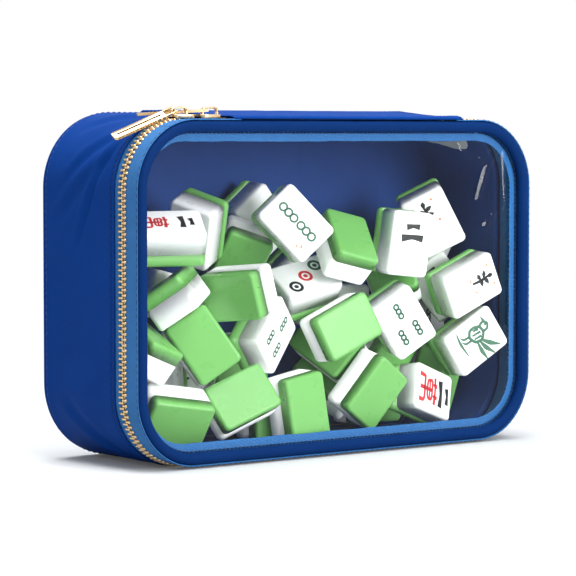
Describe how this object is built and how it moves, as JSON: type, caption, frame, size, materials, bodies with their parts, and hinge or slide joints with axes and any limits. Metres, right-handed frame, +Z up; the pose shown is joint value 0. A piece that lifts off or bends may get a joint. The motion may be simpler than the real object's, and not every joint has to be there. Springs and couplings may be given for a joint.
{
  "type": "mahjong case",
  "caption": "Soft zipped travel case for mahjong tiles, standing upright, with a hinged clear window lid, padded fabric walls and a heap of loose two-colour tiles inside.",
  "frame": {"origin": "middle of the footprint, on the surface that the case stands on", "axes": "+X to the viewer's right across the lid, +Y from the clear lid back to the padded back panel, +Z up to the side with the zip sliders"},
  "size_m": [0.2516, 0.082, 0.1713],
  "materials": {
    "blue_nylon": "satin woven nylon, royal blue",
    "foam": "soft closed-cell foam padding",
    "navy_lining": "plain navy lining cloth",
    "clear_vinyl": "clear flexible vinyl sheet",
    "light_blue_twill": "light blue woven twill tape",
    "white_cord": "extruded plastic piping cord",
    "gold_metal": "bright gold-coloured metal",
    "tile_white": "polished ivory-white resin",
    "tile_green": "polished light green resin"
  },
  "bodies": {
    "case": {"side_gusset": "blue_nylon", "back_panel": "blue_nylon", "side_foam": "foam", "back_foam": "foam", "side_lining": "navy_lining", "back_lining": "navy_lining", "hinge_band_rear": "blue_nylon", "case_tape": "light_blue_twill", "case_teeth": "gold_metal", "parked_tape": "light_blue_twill", "parked_teeth": "gold_metal", "case_end_stops": "gold_metal", "tile_faces_bamboo": "tile_white", "tile_faces_character": "tile_white", "tile_faces_dot": "tile_white", "tile_faces_bird": "tile_white", "tile_backs_bamboo": "tile_green", "tile_backs_character": "tile_green", "tile_backs_dot": "tile_green", "tile_backs_bird": "tile_green"},
    "lid": {"hinge_band_front": "blue_nylon", "window": "clear_vinyl", "window_binding": "light_blue_twill", "piping_cover": "blue_nylon", "piping_cord": "white_cord", "lid_tape": "light_blue_twill", "lid_teeth": "gold_metal", "lid_end_stop": "gold_metal"},
    "slider_left": {"slider_left": "gold_metal"},
    "slider_right": {"slider_right": "gold_metal"},
    "pull_left": {"pull_left": "gold_metal"},
    "pull_right": {"pull_right": "gold_metal"}
  },
  "joints": [
    {"name": "lid_hinge", "type": "hinge", "parent": "case", "child": "lid", "pos_m": [0, -0.024, 0.1679], "axis": [-1, 0, 0], "range_deg": [0, 180]},
    {"name": "slider_left_travel", "type": "hinge", "parent": "case", "child": "slider_left", "pos_m": [-0.091, -0.028, 0.1316], "axis": [0, -1, 0], "range_deg": [0, 60], "deforming": ["lid_teeth", "case_teeth", "parked_teeth"]},
    {"name": "slider_right_travel", "type": "slide", "parent": "case", "child": "slider_right", "axis": [1, 0, 0], "range_m": [-0.003, 0.0012]},
    {"name": "pull_left_swing", "type": "hinge", "parent": "slider_left", "child": "pull_left", "pos_m": [-0.09515, -0.028, 0.1696], "axis": [0.2588, 0.9659, 0], "range_deg": [0, 150]},
    {"name": "pull_right_swing", "type": "hinge", "parent": "slider_right", "child": "pull_right", "pos_m": [-0.0765, -0.028, 0.1696], "axis": [0.4695, 0.8829, 0], "range_deg": [0, 125]}
  ]
}
